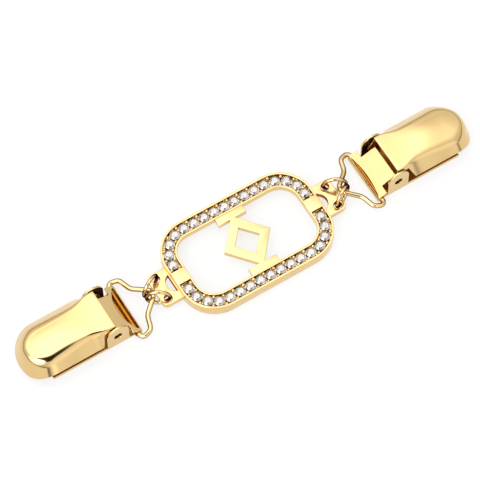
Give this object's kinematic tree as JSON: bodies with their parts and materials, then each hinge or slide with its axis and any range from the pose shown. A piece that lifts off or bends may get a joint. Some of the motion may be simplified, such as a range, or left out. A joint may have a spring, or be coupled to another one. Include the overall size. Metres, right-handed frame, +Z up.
{
  "type": "sweater clip",
  "caption": "Gold sweater clip: a stone-set rounded rectangular link with an open lozenge, held by jump rings and bent wire bails between two lever spring clips.",
  "frame": {"origin": "on the surface it lies on, under the middle of the centre link", "axes": "+X runs along the clip, +Y across it, +Z up from the surface it lies on"},
  "size_m": [0.1206, 0.0246, 0.0083],
  "materials": {
    "cast_gold": "polished gold plate on a zinc casting",
    "wire_gold": "polished gold plate on steel wire",
    "sheet_gold": "polished gold plate on pressed steel",
    "crystal": "cut and polished, mirror backed"
  },
  "bodies": {
    "link": {"frame": "cast_gold", "stone_01": "crystal", "stone_02": "crystal", "stone_03": "crystal", "stone_04": "crystal", "stone_05": "crystal", "stone_06": "crystal", "stone_07": "crystal", "stone_08": "crystal", "stone_09": "crystal", "stone_10": "crystal", "stone_11": "crystal", "stone_12": "crystal", "stone_13": "crystal", "stone_14": "crystal", "stone_15": "crystal", "stone_16": "crystal", "stone_17": "crystal", "stone_18": "crystal", "stone_19": "crystal", "stone_20": "crystal", "stone_21": "crystal", "stone_22": "crystal", "stone_23": "crystal", "stone_24": "crystal", "stone_25": "crystal", "stone_26": "crystal", "stone_27": "crystal", "stone_28": "crystal", "stone_29": "crystal", "stone_30": "crystal", "stone_31": "crystal", "stone_32": "crystal", "stone_33": "crystal", "stone_34": "crystal", "ring_left_upper": "wire_gold", "ring_left_lower": "wire_gold", "ring_right_upper": "wire_gold", "ring_right_lower": "wire_gold", "bail_left": "wire_gold", "bail_right": "wire_gold"},
    "clip_left": {"clip_body_left": "sheet_gold"},
    "clip_right": {"clip_body_right": "sheet_gold"},
    "cover_left": {"clip_cover_left": "sheet_gold"},
    "cover_right": {"clip_cover_right": "sheet_gold"}
  },
  "joints": [
    {"name": "clip_swing_left", "type": "hinge", "parent": "link", "child": "clip_left", "pos_m": [-0.033, 0.0003, 0.00119], "axis": [0, 1, 0], "range_deg": [-90, 60]},
    {"name": "clip_swing_right", "type": "hinge", "parent": "link", "child": "clip_right", "pos_m": [0.033, 0.0003, 0.00119], "axis": [0, -1, 0], "range_deg": [-90, 60]},
    {"name": "lever_left", "type": "hinge", "parent": "clip_left", "child": "cover_left", "pos_m": [-0.03791, 0.0003, 0.0041], "axis": [0, 1, 0], "range_deg": [0, 75]},
    {"name": "lever_right", "type": "hinge", "parent": "clip_right", "child": "cover_right", "pos_m": [0.03791, 0.0003, 0.0041], "axis": [0, -1, 0], "range_deg": [0, 75]}
  ]
}
